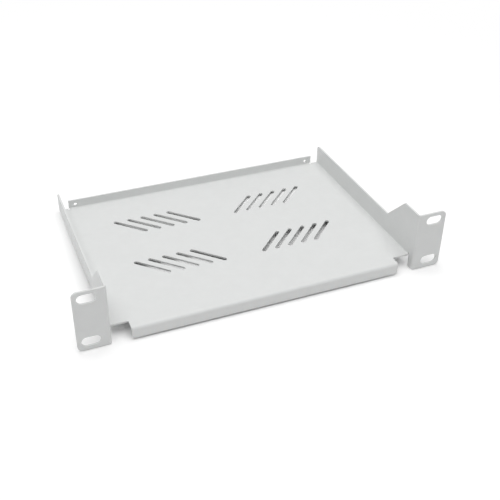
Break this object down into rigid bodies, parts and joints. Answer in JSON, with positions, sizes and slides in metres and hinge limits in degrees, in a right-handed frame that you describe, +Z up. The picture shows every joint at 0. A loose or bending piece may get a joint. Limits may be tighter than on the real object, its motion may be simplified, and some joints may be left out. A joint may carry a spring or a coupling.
{
  "type": "rack shelf",
  "caption": "Shallow one-unit shelf for a 10-inch rack, folded from sheet steel, with slotted ears, a lip and slanted vents.",
  "frame": {"origin": "centre of the four ear slots, on the front face of the ears", "axes": "+X across the rack to the right seen from the front, +Y to the rear of the rack, +Z up"},
  "size_m": [0.254, 0.152, 0.0437],
  "materials": {
    "powder_coat": "light grey fine-textured powder coat, satin"
  },
  "bodies": {
    "root": {"folded_shelf": "powder_coat"}
  },
  "joints": []
}
